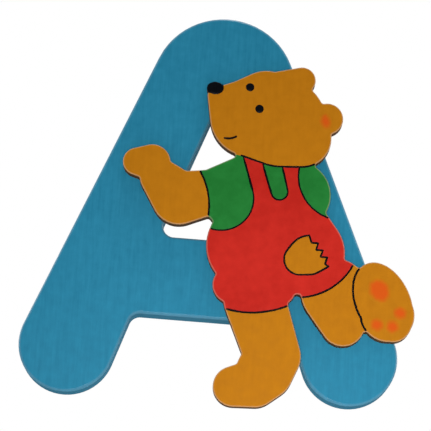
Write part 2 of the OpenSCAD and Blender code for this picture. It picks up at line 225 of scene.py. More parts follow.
add(tree, "ShaderNodeOutputMaterial", {"Surface": one_sided.outputs[0]})
floor_mesh.materials.append(floor_paint)
print("floor glow", LIFT_NEAR, "near and", LIFT_FAR, "beyond", LAMP_REACH, "m")

# %% [markdown]
# ## The lamps
# The photograph was lit from beside the camera: it shows no cast shadow, and the paint gets lighter toward
# the lower right. So the front lamp stands on the camera's line of sight, with its beam narrowed to a cone
# that is aimed there. A low lamp reaches the undersides, three more light the back and the sides for other
# views, and one above lays the shadow. Light linking keeps all but that one off the floor, where they
# would burn out bright spots.


# %% Lamps
not_floor = bpy.data.collections.new("not_the_floor")
not_floor.objects.link(floor)
not_floor.collection_objects[0].light_linking.link_state = "EXCLUDE"


def soft_lamp(name, place, aim, wide, high, watts, cone):
    """A soft lamp that looks at a place, skips the floor and stays out of the picture."""
    lamp = bpy.data.lights.new(name, "AREA")
    lamp.shape = "RECTANGLE"
    lamp.size = wide
    lamp.size_y = high
    lamp.energy = watts
    lamp.spread = math.radians(cone)
    made = bpy.data.objects.new(name, lamp)
    made.location = place
    made.rotation_euler = (Vector(aim) - Vector(place)).to_track_quat("-Z", "Y").to_euler()
    made.visible_camera = False
    made.light_linking.receiver_collection = not_floor
    bpy.context.scene.collection.objects.link(made)
    return made


LOWER_RIGHT = (0.030, -0.006, -0.030)
FRONT_LAMP_FAR = 0.40
OPEN_CONE = 180.0
LAMPS = (  # name, place, aim, width and height in metres, watts, cone in degrees
    ("front_lamp", CAMERA_TARGET - forward * FRONT_LAMP_FAR, LOWER_RIGHT, 0.06, 0.06, 0.069, 46.0),
    ("low_lamp", (0.020, -0.030, -0.120), CAMERA_TARGET, 0.10, 0.02, 0.020, OPEN_CONE),
    ("back_lamp", (0.000, 0.300, 0.030), CAMERA_TARGET, 0.20, 0.20, 0.400, OPEN_CONE),
    ("left_lamp", (-0.250, 0.050, 0.060), CAMERA_TARGET, 0.15, 0.15, 0.220, OPEN_CONE),
    ("right_lamp", (0.250, 0.050, 0.060), CAMERA_TARGET, 0.15, 0.15, 0.220, OPEN_CONE),
    ("top_lamp", (0.060, -0.100, 0.550), CAMERA_TARGET, 0.20, 0.20, 1.100, OPEN_CONE),
)
lamps = {row[0]: soft_lamp(*row) for row in LAMPS}
lamps["top_lamp"].light_linking.receiver_collection = None
print("lamps", list(lamps))

# %% [markdown]
# ## Reading an outline from a solid
# Both boards and every printed colour are flat shapes with a thickness. Their outline is the rim of the
# walls that stand straight through them. The solids are loose triangles, so a copy is merged first, the
# tallest walls are picked, and their front rim is walked from corner to corner. Outer rims run
# anticlockwise and holes clockwise, so the wood always lies on the left of the way.

# %% Outline helpers
MERGE = 0.002 * MM
UPRIGHT = 0.01
NEARLY_TALLEST = 0.99


def area_of(loop):
    """The area within a loop, below zero if it runs clockwise."""
    x, z = loop[:, 0], loop[:, 1]
    return 0.5 * float(np.sum(x * np.roll(z, -1) - np.roll(x, -1) * z))


def inside(points, loops):
    """True for each point that lies within an odd number of the loops."""
    points = np.atleast_2d(points)
    odd = np.zeros(len(points), bool)
    for loop in loops:
        a, b = loop, np.roll(loop, -1, axis=0)
        crosses = (a[None, :, 1] > points[:, None, 1]) != (b[None, :, 1] > points[:, None, 1])
        slope = (b[:, 0] - a[:, 0]) / np.where(b[:, 1] == a[:, 1], 1.0, b[:, 1] - a[:, 1])
        at = a[None, :, 0] + (points[:, None, 1] - a[None, :, 1]) * slope[None]
        odd ^= (np.sum(crosses & (points[:, None, 0] < at), axis=1) % 2).astype(bool)
    return odd


print("outline helpers ready")


# %% Outline of a node
def walked(follow):
    """Closed loops, in millimetres, from a table of each corner's two neighbours."""
    loops, left = [], set(follow)
    while left:
        start = min(left, key=lambda v: v.index)
        loop, before, here = [], None, start
        while here is not start or not loop:
            loop.append((here.co.x / MM, here.co.z / MM))
            left.discard(here)
            before, here = here, next(v for v in follow[here] if v is not before)
        loops.append(np.array(loop))
    return loops


def flat_loops(node):
    """The closed outlines of a flat CAD node, seen from the front, in millimetres: x right, z up."""
    copy = bmesh.new()
    copy.from_mesh(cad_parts[node].data)
    bmesh.ops.remove_doubles(copy, verts=copy.verts, dist=MERGE)
    walls = {}
    for face in copy.faces:
        depths = [v.co.y for v in face.verts]
        if abs(face.normal.y) < UPRIGHT:
            walls[face] = max(depths) - min(depths)
    tallest = max(walls.values())
    walls = [face for face, depth in walls.items() if depth > NEARLY_TALLEST * tallest]
    rim = min(v.co.y for face in walls for v in face.verts)
    follow = {}
    for edge in {e for face in walls for e in face.edges}:
        a, b = edge.verts
        if abs(a.co.y - rim) < MERGE and abs(b.co.y - rim) < MERGE:
            follow.setdefault(a, []).append(b)
            follow.setdefault(b, []).append(a)
    loops = walked(follow)
    copy.free()
    for i, loop in enumerate(loops):
        hole = inside(loop[:1], loops[:i] + loops[i + 1:])[0]
        if (area_of(loop) > 0) == hole:
            loops[i] = loop[::-1]
    return sorted(loops, key=lambda loop: -abs(area_of(loop)))


letter_loops = flat_loops("letter_board")
bear_loops = flat_loops("bear_board")
print("letter outlines", [len(loop) for loop in letter_loops], "bear outlines", [len(loop) for loop in bear_loops])

# %% [markdown]
# ## Offsets and distances in the flat
# A sanded edge is a set of outlines, each a little further in. Moving every corner along the middle of its
# two neighbours does that. The printed colours also need to know how far a place is from an outline,
# because paint wraps over the sanded edge there.


# %% Offset helpers
SHARPEST = 0.6
TINY = 1e-6


def away(loop):
    """For each corner, the direction out of the wood, and how much longer a corner moves than its edges."""
    along = np.roll(loop, -1, axis=0) - loop
    normal = np.stack([along[:, 1], -along[:, 0]], axis=1)
    normal /= np.linalg.norm(normal, axis=1)[:, None]
    both = normal + np.roll(normal, 1, axis=0)
    both /= np.linalg.norm(both, axis=1)[:, None]
    stretch = 1.0 / np.maximum(SHARPEST, np.sum(both * normal, axis=1))
    return both, stretch[:, None]


def moved_out(loop, by):
    """The loop moved out of the wood, or into it where by is below zero."""
    out, stretch = away(loop)
    return loop + out * stretch * by


def toward_edge(points, far, place):
    """Directions from points to their nearest places, which lie that far away."""
    return (place - points) / np.maximum(far, TINY)[:, None]


def nearest(points, loops):
    """Distance from each point to the outlines, and the nearest place on them."""
    a = np.concatenate(loops)
    b = np.concatenate([np.roll(loop, -1, axis=0) for loop in loops])
    ab = b - a
    long2 = np.maximum(np.sum(ab * ab, axis=1), TINY**2)
    far, place = np.zeros(len(points)), np.zeros((len(points), 2))
    for i, p in enumerate(points):
        share = np.clip(np.sum((p - a) * ab, axis=1) / long2, 0, 1)
        foot = a + share[:, None] * ab
        gap = np.sum((foot - p) ** 2, axis=1)
        best = int(np.argmin(gap))
        far[i], place[i] = math.sqrt(gap[best]), foot[best]
    return far, place


print("offset and distance helpers ready")

# %% Filling helpers
ROW_SHARE = 0.87


def triangles(loops, extra, keep):
    """Triangles that keep every edge of the loops, with extra corners. Returns corners, triangles and, for
    each corner, the loop corner that it came from, or -1."""
    corners = np.concatenate([*loops, *([extra] if len(extra) else [])])
    edges, first = [], 0
    for loop in loops:
        edges += [(first + i, first + (i + 1) % len(loop)) for i in range(len(loop))]
        first += len(loop)
    made = delaunay_2d_cdt([Vector(p) for p in corners], edges, [], 0, TINY)
    points = np.array([tuple(p) for p in made[0]])
    faces = np.array([tuple(f) for f in made[2]])
    source = np.array([min(ids) if ids and min(ids) < first else -1 for ids in made[3]])
    faces = faces[keep(points[faces].mean(axis=1))]
    return points, faces, source


def lattice(loops, step, clear):
    """A staggered grid of points within the loops, clear of their edges."""
    low = np.min([loop.min(axis=0) for loop in loops], axis=0)
    high = np.max([loop.max(axis=0) for loop in loops], axis=0)
    rows = np.arange(low[1], high[1], step * ROW_SHARE)
    grid = np.array([(x + (i % 2) * step / 2, z) for i, z in enumerate(rows)
                     for x in np.arange(low[0], high[0], step)])
    grid = grid[inside(grid, loops)]
    return grid[nearest(grid, loops)[0] > clear] if len(grid) else grid


print("filling helpers ready")

# %% [markdown]
# ## A sanded board
# A plain extrusion with a Bevel modifier would do on a simple shape, but this outline has tight inner
# corners where bevels cross. Instead the edge is lofted: rings of corners follow a quarter circle from the
# side to each face, and the faces are filled with triangles. Each corner also gets its exact normal, so
# the flat face stays flat in the light, and a value called turn: 0 on the side, 1 on the front, -1 on the
# back. The paint reads it to know where the edges are.

# %% Sanded edge
EASE_STEPS = 6
FRONT = np.array((0.0, -1.0, 0.0))


def stood(flat, depth):
    """Flat millimetres stood up in the frame, in metres."""
    return np.column_stack([flat[:, 0], np.broadcast_to(depth, len(flat)), flat[:, 1]]) * MM


def eased(radius):
    """Steps of a sanded edge from side to face: inset, sink below the face, and turn."""
    turns = np.linspace(0, math.pi / 2, EASE_STEPS + 1)
    return [(radius * (1 - math.cos(t)), radius * (1 - math.sin(t)), t) for t in turns]


print("a sanded edge has", EASE_STEPS, "steps")

# %% Mesh helper
CREASE = math.radians(35)


def finish_piece(name, corners, faces, values, material, normals=None):
    """A smooth mesh object at the origin, with named values on its corners and, where given, its normals."""
    mesh = bpy.data.meshes.new(name)
    mesh.from_pydata([tuple(c) for c in corners], [], [tuple(int(i) for i in f) for f in faces])
    mesh.validate()
    mesh.shade_smooth()
    if normals is None:
        mesh.set_sharp_from_angle(angle=CREASE)
    else:
        mesh.normals_split_custom_set_from_vertices([tuple(n) for n in normals])
    for label, numbers in values.items():
        mesh.attributes.new(label, "FLOAT", "POINT").data.foreach_set("value", np.asarray(numbers, np.float32))
    mesh.materials.append(material)
    made = bpy.data.objects.new(name, mesh)
    bpy.context.scene.collection.objects.link(made)
    check = bmesh.new()
    check.from_mesh(mesh)
    open_edges = sum(1 for e in check.edges if len(e.link_faces) != 2)
    print(name, len(mesh.polygons), "faces,", open_edges, "open edges,",
          round(check.calc_volume(signed=True) / MM**3, 2), "mm3")
    check.free()
    return made


print("mesh helper ready")

# %% Board helper
FILL_STEP, FILL_CLEAR = 2.5, 1.0


def sanded_board(name, node, loops, radius, material):
    """A board with the outline of its loops and the depth of its node, sanded round to the radius."""
    low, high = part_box(node)
    back, front = high.y / MM, low.y / MM
    rings = [(inset, back - sink, -math.sin(t), t) for inset, sink, t in reversed(eased(radius))]
    rings += [(inset, front + sink, math.sin(t), t) for inset, sink, t in eased(radius)]
    corners, normals, turn, faces, first = [], [], [], [], {}
    total = 0
    for k, loop in enumerate(loops):
        out = away(loop)[0]
        for r, (inset, depth, facing, t) in enumerate(rings):
            first[k, r] = total
            corners.append(stood(moved_out(loop, -inset), depth))
            side = np.column_stack([out[:, 0], np.zeros(len(out)), out[:, 1]])
            normals.append(math.cos(t) * side + facing * FRONT)
            turn.append(np.full(len(loop), facing))
            if r:
                a, b = first[k, r - 1], total
                n = len(loop)
                faces += [(a + i, a + (i + 1) % n, b + (i + 1) % n, b + i) for i in range(n)]
            total += len(loop)
    for r, facing, depth in ((0, -1, back), (len(rings) - 1, 1, front)):
        rim = [moved_out(loop, -radius) for loop in loops]
        rim_index = np.concatenate([np.arange(len(loop)) + first[k, r] for k, loop in enumerate(loops)])
        points, fill, source = triangles(rim, lattice(rim, FILL_STEP, FILL_CLEAR), lambda p: inside(p, rim))
        index = np.where(source >= 0, rim_index[source], -1)
        new = np.flatnonzero(index < 0)
        index[new] = total + np.arange(len(new))
        corners.append(stood(points[new], depth))
        normals.append(np.tile(facing * FRONT, (len(new), 1)))
        turn.append(np.full(len(new), facing))
        total += len(new)
        faces += [tuple(index[f][::facing]) for f in fill]
    values = {"turn": np.concatenate(turn)}
    return finish_piece(name, np.concatenate(corners), faces, values, material, np.concatenate(normals))


print("board helper ready")

# %% [markdown]
# ## Grain under paint
# Thin paint on wood is never one flat colour. The grain swells and shrinks under it in fine upright
# streaks, the roller leaves a soft mottle, and a few pores stay open. One shader group makes these from
# Object coordinates, stretched along the grain, so that every paint on this object can share it. The group
# gives values only; each material decides how much colour, roughness and bump it takes from them.

# %% Grain group
PORES_FINER = 2.6
PORE_DEPTH = -0.8

grain, given, result = group_tree(
    "grain_under_paint", "ShaderNodeTree",
    [("Coordinates", "NodeSocketVector", None), ("Across per metre", "NodeSocketFloat", 1500.0),
     ("Along per metre", "NodeSocketFloat", 110.0), ("Mottle per metre", "NodeSocketFloat", 520.0)],
    [("Streak", "NodeSocketFloat"), ("Mottle", "NodeSocketFloat"), ("Height", "NodeSocketFloat")])
where, across, lengthways, mottling = given.outputs[:4]
stretch = add(grain, "ShaderNodeCombineXYZ", {0: across, 1: across, 2: lengthways})
along = add(grain, "ShaderNodeVectorMath", {0: where, 1: stretch.outputs[0]}, operation="MULTIPLY")
streak = add(grain, "ShaderNodeTexNoise", {"Vector": along.outputs[0], "Scale": 1.0, "Detail": 3.0,
                                           "Roughness": 0.6, "Distortion": 0.25})
mottle = add(grain, "ShaderNodeTexNoise", {"Vector": where, "Scale": mottling, "Detail": 3.0, "Roughness": 0.55})
fine = add(grain, "ShaderNodeVectorMath", {0: along.outputs[0], "Scale": PORES_FINER}, operation="SCALE")
pores = add(grain, "ShaderNodeTexNoise", {"Vector": fine.outputs[0], "Scale": 1.0, "Detail": 1.0})
pore = add(grain, "ShaderNodeMapRange", {"Value": pores.outputs[0], "From Min": 0.66, "From Max": 0.78},
           interpolation_type="SMOOTHSTEP")
swell = calc(grain, "ADD", streak.outputs[0], mottle.outputs[0])
put(grain, result.inputs["Streak"], streak.outputs[0])
put(grain, result.inputs["Mottle"], mottle.outputs[0])
put(grain, result.inputs["Height"], calc(grain, "MULTIPLY_ADD", pore.outputs[0], PORE_DEPTH, swell))
print(grain.name, len(grain.nodes), "nodes")

# %% [markdown]
# ## Where the edges are
# Sanding leaves the eased edge a touch smoother. Paint gathers there and shines, and handling rubs it thin,
# until a pale primer begins to show; that pale colour on the edge is also a painted highlight. The sawn side is
# rougher. A second group turns the board's turn value into two masks: the band of the eased edge, and the
# side. A little noise breaks their borders, as a hand with sandpaper does.

# %% Edge group
EDGE_WANDER = 0.12

edges, given, result = group_tree(
    "edge_masks", "ShaderNodeTree",
    [("Turn", "NodeSocketFloat", None), ("Noise", "NodeSocketFloat", 0.5)],
    [("Band", "NodeSocketFloat"), ("Side", "NodeSocketFloat")])
flatness = calc(edges, "ABSOLUTE", given.outputs["Turn"])
wander = calc(edges, "MULTIPLY_ADD", given.outputs["Noise"], EDGE_WANDER, flatness)
side = add(edges, "ShaderNodeMapRange",
           {"Value": wander, "From Min": 0.10, "From Max": 0.42, "To Min": 1.0, "To Max": 0.0},
           interpolation_type="SMOOTHSTEP")
face = add(edges, "ShaderNodeMapRange", {"Value": flatness, "From Min": 0.90, "From Max": 1.0},
           interpolation_type="SMOOTHSTEP")
taken = calc(edges, "MAXIMUM", side.outputs[0], face.outputs[0])
put(edges, result.inputs["Band"], calc(edges, "SUBTRACT", 1.0, taken))
put(edges, result.inputs["Side"], side.outputs[0])
print(edges.name, len(edges.nodes), "nodes")

# %% [markdown]
# ## Paint on wood
# Every painted board here is finished in the same way: two close tones mixed by the grain, another tone on
# the sawn side, pale primer where the edge is rubbed, which also paints a highlight along it, and a bump. One
# function makes such a material from the two groups, and the boards differ only in the values that they give
# it. The Principled BSDF itself stays outside the groups, where its plain values can be set on its own sockets.


# %% Paint helpers
# Pale primer that shows where edges are rubbed; on the eased edge it also serves as a painted highlight.
PRIMER_AND_HIGHLIGHT = (0.72, 0.60, 0.44)
NOISE_LOW, NOISE_HIGH = 0.3, 0.7


def mixed(tree, share, first, second):
    """A mix of two colours, each a socket or three numbers."""
    made = add(tree, "ShaderNodeMix", {"Factor": share}, data_type="RGBA")
    for label, colour in (("A", first), ("B", second)):
        put(tree, made.inputs[label], (*colour, 1) if isinstance(colour, tuple) else colour)
    return made.outputs["Result"]


def spread(tree, noise, low=0.0, high=1.0):
    """A noise's usual range spread out from low to high."""
    made = add(tree, "ShaderNodeMapRange", {"Value": noise, "From Min": NOISE_LOW, "From Max": NOISE_HIGH,
                                            "To Min": low, "To Max": high})
    return made.outputs[0]


def new_coat(name, across):
    """A new material, its tree and the grain under it."""
    material = bpy.data.materials.new(name)
    material.use_nodes = True
    tree = material.node_tree
    where = add(tree, "ShaderNodeTexCoord")
    wood = add(tree, "ShaderNodeGroup", {"Coordinates": where.outputs["Object"], "Across per metre": across},
               node_tree=grain)
    return material, tree, wood


def rubbed_and_highlit(tree, wood, tone, deep, bright, rub_and_highlight):
    """The edge masks, and two tones of a colour, paled on the eased edge: rubbed to the primer, and a painted
    highlight.
    """
    turn = add(tree, "ShaderNodeAttribute", attribute_name="turn")
    rims = add(tree, "ShaderNodeGroup", {"Turn": turn.outputs["Fac"], "Noise": wood.outputs["Mottle"]},
               node_tree=edges)
    # How far the eased edge turns pale: wear through to the primer, and a painted highlight.
    worn_and_highlit = calc(tree, "MULTIPLY", rims.outputs["Band"], rub_and_highlight)
    return rims, mixed(tree, worn_and_highlit, mixed(tree, tone, deep, bright), PRIMER_AND_HIGHLIGHT)


def feed(tree, inputs):
    """Gives a material's Principled BSDF its inputs."""
    for key, source in inputs.items():
        put(tree, tree.nodes["Principled BSDF"].inputs[key], source)


print("paint helpers ready")

# %% Brushed paint
SAWN_ROUGH = 0.9
COAT_ROUGH = 0.16
SMOOTHER, ROUGHER = 0.05, 0.07
GRAIN_DEPTH = 0.03 * MM


def painted(name, deep, bright, side_colour, across, streak_share, rough, shine, bump, edge_coat, rub_and_highlight):
    """A brushed paint: two tones of one colour mixed by the grain, a tone for the sawn side, the primer where
    the eased edge is rubbed, which also paints a highlight there, and a bump."""
    material, tree, wood = new_coat(name, across)
    blend = add(tree, "ShaderNodeMix",
                {0: 1.0 - streak_share, 2: wood.outputs["Streak"], 3: wood.outputs["Mottle"]}, data_type="FLOAT")
    rims, face_colour = rubbed_and_highlit(tree, wood, spread(tree, blend.outputs[0]), deep, bright, rub_and_highlight)
    matt = spread(tree, wood.outputs["Mottle"], rough - SMOOTHER, rough + ROUGHER)
    sawn = add(tree, "ShaderNodeMix", {0: rims.outputs["Side"], 2: matt, 3: SAWN_ROUGH}, data_type="FLOAT")
    relief = add(tree, "ShaderNodeBump",
                 {"Height": wood.outputs["Height"], "Strength": bump, "Distance": GRAIN_DEPTH})
    feed(tree, {
        "Base Color": mixed(tree, rims.outputs["Side"], face_colour, side_colour),
        "Roughness": sawn.outputs[0],
        "Coat Weight": calc(tree, "MULTIPLY", rims.outputs["Band"], edge_coat),
        "Normal": relief.outputs[0],
        "Specular IOR Level": shine,
        "Coat Roughness": COAT_ROUGH,
    })
    return material


print("brushed paint ready")

# %% [markdown]
# ## The letter
# The letter is one board about as thick as a pencil, painted blue all over, with softly sanded edges that
# catch a line of light along the bottom. It takes the outline of its solid and the sanded edge of the
# board helper. The blue is two close tones, mixed by the grain.

# %% Letter
LETTER_EASE = 0.6
BLUE_DEEP = (0.013, 0.198, 0.332)
BLUE_BRIGHT = (0.024, 0.260, 0.418)
BLUE_SIDE = (0.026, 0.200, 0.320)

# A faint pale eased edge on the letter: a little wear, and a painted highlight.
blue_paint = painted("blue_paint", BLUE_DEEP, BLUE_BRIGHT, BLUE_SIDE, across=1500.0, streak_share=0.55,
                     rough=0.46, shine=0.08, bump=0.30, edge_coat=0.6, rub_and_highlight=0.05)
letter = sanded_board("letter_blank", "letter_board", letter_loops, LETTER_EASE, blue_paint)
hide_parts("letter_board")
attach(letter, "root")

# %% [markdown]
# ## The bear's board
# The bear is sawn from a thinner board and painted in warm ochre. Its edges are only just broken, and its
# sawn sides are left browner than its face, which draws the dark rim that the photograph shows under the
# arm and the foot. It is made as the letter is, with other sizes and colours.

# %% Bear
BEAR_EASE = 0.3
OCHRE_DEEP = (0.470, 0.166, 0.0036)
OCHRE_BRIGHT = (0.540, 0.198, 0.0054)
SAWN_BROWN = (0.105, 0.055, 0.026)
# The ochre's eased edge turns pale: rubbed to the primer, and a painted highlight.
OCHRE_COAT = dict(across=1100.0, streak_share=0.35, rough=0.50, shine=0.04, bump=0.14, rub_and_highlight=0.22)

ochre_paint = painted("ochre_paint", OCHRE_DEEP, OCHRE_BRIGHT, SAWN_BROWN, edge_coat=0.25, **OCHRE_COAT)
bear = sanded_board("bear_cutout", "bear_board", bear_loops, BEAR_EASE, ochre_paint)
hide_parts("bear_board")
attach(bear, "root")

# %% [markdown]
# ## Printed colours
# The clothes are opaque colours printed over the ochre. Real paint runs right out to the edge and over it,
# so each film starts from the outline of its solid, is pulled out to the edge of the board where it lies
# along it, slips a little under the black lines elsewhere, and then follows the sanded edge down. The film
# is a thin closed shell: its top swells gently in from its own rim, and its underside lies on the board.

# %% Film outline
EDGE_REACH = 0.45
EDGE_OVER = 0.2
bear_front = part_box("bear_board")[0].y / MM
edge_steps = eased(BEAR_EASE)
edge_rings = [moved_out(bear_loops[0], -inset) for inset, sink, t in edge_steps]


def over_the_edge(outlines, grow):
    """The outlines grown a little, and pulled out past the board's edge where they lie along it."""
    pulled = []
    for loop in outlines:
        at_edge = nearest(loop, bear_loops)[0] < EDGE_REACH
        grown = moved_out(loop, grow)
        far, place = nearest(grown, bear_loops)
        reach = np.where(at_edge & inside(grown, bear_loops), far + EDGE_OVER, 0.0)
        pulled.append(grown + toward_edge(grown, far, place) * reach[:, None])
    return pulled


def on_the_board(points):
    """Points laid on the face and the sanded edge: their places, normals, distances from the board's edge,
    and how far they face the front."""
    far, place = nearest(points, bear_loops)
    toward = toward_edge(points, far, place)
    insets, sinks, turns = (np.array(v) for v in zip(*edge_steps))
    sink, turn = np.interp(far, insets, sinks), np.interp(far, insets, turns)
    lean = np.where(far < insets[-1], np.cos(turn), 0.0)
    facing = np.sqrt(1 - lean**2)
    normal = np.column_stack([toward[:, 0] * lean, np.zeros(len(points)), toward[:, 1] * lean])
    base = np.column_stack([points[:, 0], bear_front + sink, points[:, 1]])
    return base, normal + facing[:, None] * FRONT, far, facing


print("face of the bear at", round(bear_front, 2), "mm, edge in", len(edge_rings), "rings")

# %% Film helper
UNDER = 0.015
EDGE_RIM = 0.12
CROWN_STEPS = (0.3, 0.65, 1.0)
CROWN_CLEAR, RIM_CLEAR = 1.2, 0.25


def film(name, outlines, grow, thick, crown, step, material):
    """A thin paint film on the bear's face, with its distance from its own rim in millimetres as rim_mm."""
    pulled = over_the_edge(outlines, grow)
    inner = [moved_out(loop, -crown * share) for loop in pulled for share in CROWN_STEPS]
    extra = np.concatenate([*inner, lattice(pulled, step, crown * CROWN_CLEAR)])
    deep = nearest(extra, pulled)[0] > crown * RIM_CLEAR
    extra = extra[inside(extra, pulled) & deep & inside(extra, [edge_rings[-1]])]
    points, fill, _ = triangles(pulled + edge_rings, extra, lambda p: inside(p, pulled) & inside(p, bear_loops))
    used, fill = np.unique(fill, return_inverse=True)
    points, fill = points[used], fill.reshape(-1, 3)
    base, normal, far, facing = on_the_board(points)
    rim = np.minimum(nearest(points, pulled)[0], far + EDGE_RIM)
    height = thick * np.sqrt(1 - (1 - np.minimum(rim / crown, 1)) ** 2)
    n = len(points)
    sided = {edge for a, b, c in fill for edge in ((a, b), (b, c), (c, a))}
    rims = sorted((b, a) for a, b in sided if (b, a) not in sided)
    faces = [tuple(f) for f in fill] + [tuple(f[::-1] + n) for f in fill]
    faces += [(a, b, b + n, a + n) for a, b in rims]
    corners = np.concatenate([base + normal * height[:, None], base - normal * UNDER]) * MM
    values = {"rim_mm": np.tile(rim, 2), "turn": np.tile(facing, 2)}
    return finish_piece(name, corners, faces, values, material)


print("film helper ready")

# %% [markdown]
# ## Shirt and dungarees
# Both colours are smoother than the letter's paint, because they lie on a coat that already filled the
# grain. A faint mottle and a slow drift of tone keep them from looking like flat plastic, and each film is
# a little glossier than the ochre under it. Where it runs over the board's edge it is rubbed pale as the ochre
# is, which also paints a highlight there.


# %% Print material
PRINT_ACROSS = 900.0
PRINT_BUMP = 0.10
GLOSSIER, DULLER = 0.04, 0.06


def printed(name, deep, bright, rough, shine, rub_and_highlight):
    """A printed colour: two close tones in a soft mottle, paled at the board's edge by wear and a painted
    highlight, with its own gloss.
    """
    material, tree, wood = new_coat(name, PRINT_ACROSS)
    where = add(tree, "ShaderNodeTexCoord")
    drift = add(tree, "ShaderNodeTexNoise", {"Vector": where.outputs["Object"], "Scale": 70.0, "Detail": 2.0})
    blend = calc(tree, "ADD", wood.outputs["Mottle"], drift.outputs[0])
    tone = add(tree, "ShaderNodeMapRange", {"Value": blend, "From Min": 0.75, "From Max": 1.3})
    ripple = add(tree, "ShaderNodeBump",
                 {"Height": wood.outputs["Height"], "Strength": PRINT_BUMP, "Distance": GRAIN_DEPTH})
    feed(tree, {
        "Base Color": rubbed_and_highlit(tree, wood, tone.outputs[0], deep, bright, rub_and_highlight)[1],
        "Roughness": spread(tree, wood.outputs["Streak"], rough - GLOSSIER, rough + DULLER),
        "Normal": ripple.outputs[0],
        "Specular IOR Level": shine,
    })
    return material


GREEN_DEEP, GREEN_BRIGHT = (0.0130, 0.175, 0.027), (0.0195, 0.221, 0.038)
RED_DEEP, RED_BRIGHT = (0.500, 0.0160, 0.0095), (0.600, 0.0235, 0.0145)
# The clothes' edges turn pale where they run over the board: wear, and a painted highlight.
CLOTH_COAT = dict(rough=0.46, shine=0.04, rub_and_highlight=0.2)

green_print = printed("green_print", GREEN_DEEP, GREEN_BRIGHT, **CLOTH_COAT)
red_print = printed("red_print", RED_DEEP, RED_BRIGHT, **CLOTH_COAT)
print("printed colours", green_print.name, red_print.name)

# %% Shirt and dungarees
CLOTH = dict(grow=0.26, thick=0.06, crown=0.22, step=1.4)

for name, node, slot, material in (("shirt_film", "shirt_print", "green_print", green_print),
                                   ("dungarees_film", "dungarees_print", "red_print", red_print)):
    cloth = film(name, flat_loops(node), material=material, **CLOTH)
    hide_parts(node)
    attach(cloth, "root")

# %% [markdown]
# ## Airbrushed pads
# The pads of the sole and the blush in the ear are sprayed, so they have no outline at all: orange in the
# middle, fading into the ochre. Each is a film that feathers to nothing. Its material is the bear's own
# paint with orange mixed in by the distance from the rim, roughened with noise like spray.

# %% Spray material
ORANGE = (0.680, 0.090, 0.0055)
SPECKLE = 0.7

spray_paint = painted("spray_paint", OCHRE_DEEP, OCHRE_BRIGHT, OCHRE_DEEP, edge_coat=0.0, **OCHRE_COAT)
tree = spray_paint.node_tree
under_colour = tree.nodes["Principled BSDF"].inputs["Base Color"].links[0].from_socket
where = add(tree, "ShaderNodeTexCoord")
speck = add(tree, "ShaderNodeTexNoise", {"Vector": where.outputs["Object"], "Scale": 900.0, "Detail": 3.0})
rim = add(tree, "ShaderNodeAttribute", attribute_name="rim_mm")
ragged = calc(tree, "MULTIPLY_ADD", speck.outputs[0], SPECKLE, rim.outputs["Fac"])
cover = add(tree, "ShaderNodeMapRange", {"Value": ragged, "From Min": 0.35, "From Max": 1.75, "To Max": 0.95},
            interpolation_type="SMOOTHSTEP")
feed(tree, {"Base Color": mixed(tree, cover.outputs[0], under_colour, ORANGE)})
print("spray", len(tree.nodes), "nodes")


# %% Pads
def joined(name, parts):
    """Several pieces of one material made into one mesh object."""
    whole = bmesh.new()
    for part in parts:
        whole.from_mesh(part.data)
    mesh = parts[0].data.copy()
    whole.to_mesh(mesh)
    whole.free()
    mesh.name = name
    for part in parts:
        bpy.data.objects.remove(part)
    made = bpy.data.objects.new(name, mesh)
    bpy.context.scene.collection.objects.link(made)
    return made


SPOT = dict(grow=0.7, thick=0.02, crown=0.9, step=0.45)

spots = [film(f"spot_{i}", [loop], material=spray_paint, **SPOT) for i, loop in enumerate(flat_loops("pads_print"))]
pads = joined("sprayed_pads", spots)
pads.data.shade_smooth()
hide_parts("pads_print")
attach(pads, "root")
print("pads", len(pads.data.polygons), "faces")

# %% [markdown]
# ## Ink
# The black lines are drawn in thick ink that stands up in a low ridge. Each follows a curve: a circle, or
# a band pulled round two discs. It is drawn where the solid of the lines lies, and carried on to the
# board's edge where that is near, as a brush runs off the edge. A Geometry Nodes tree turns the curves into
# ridges: it resamples them, sweeps a round profile that thins at the ends and wavers a little in width, and
# presses the tube flat on the board. One tree draws every line, and its inputs are named for the ink.

# %% Ink material
INK_DEEP, INK_BRIGHT = (0.0015, 0.0018, 0.0024), (0.0040, 0.0040, 0.0046)
GLOSS_DEEP, GLOSS_BRIGHT = (0.0010, 0.0014, 0.0026), (0.0026, 0.0030, 0.0046)

black_ink = printed("black_ink", INK_DEEP, INK_BRIGHT, rough=0.42, shine=0.03, rub_and_highlight=0.0)
gloss_black = printed("gloss_black", GLOSS_DEEP, GLOSS_BRIGHT, rough=0.26, shine=0.03, rub_and_highlight=0.0)
print("inks", black_ink.name, gloss_black.name)

# %% Curve helpers
LETTER_HEIGHT = 80.0
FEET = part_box("letter_board")[1].z / MM - LETTER_HEIGHT
ARC_STEP = math.radians(3)


def belt_turn(a, b):
    """Direction in which the belt from disc a to disc b lies off their centres, on the right of the way."""
    way = np.subtract(b[0], a[0])
    return math.atan2(way[1], way[0]) - math.acos((a[1] - b[1]) / np.linalg.norm(way))


def band_round(discs):
    """The closed outline of a band pulled round discs, each a centre and a radius, above the feet."""
    outline = []
    for i, (centre, radius) in enumerate(discs):
        start, sweep = 0.0, math.tau
        if len(discs) > 1:
            start = belt_turn(discs[i - 1], discs[i])
            sweep = (belt_turn(discs[i], discs[(i + 1) % len(discs)]) - start) % math.tau
        steps = max(2, round(sweep / ARC_STEP))
        ends = 0 if len(discs) == 1 else 1
        outline += [(centre[0] + radius * math.cos(start + sweep * k / steps),
                     centre[1] + radius * math.sin(start + sweep * k / steps) + FEET) for k in range(steps + ends)]
    return np.array(outline)


def oval_round(centre, long, wide, turn):
    """The outline of an oval with these half axes, its length turned from level, above the feet."""
    round_about = np.arange(0.0, math.tau, ARC_STEP)
    along, across = long * np.cos(round_about), wide * np.sin(round_about)
    lean = math.radians(turn)
    return np.column_stack([centre[0] + along * math.cos(lean) - across * math.sin(lean),
                            centre[1] + along * math.sin(lean) + across * math.cos(lean) + FEET])


print("the letter's feet stand at", round(FEET, 2), "mm")

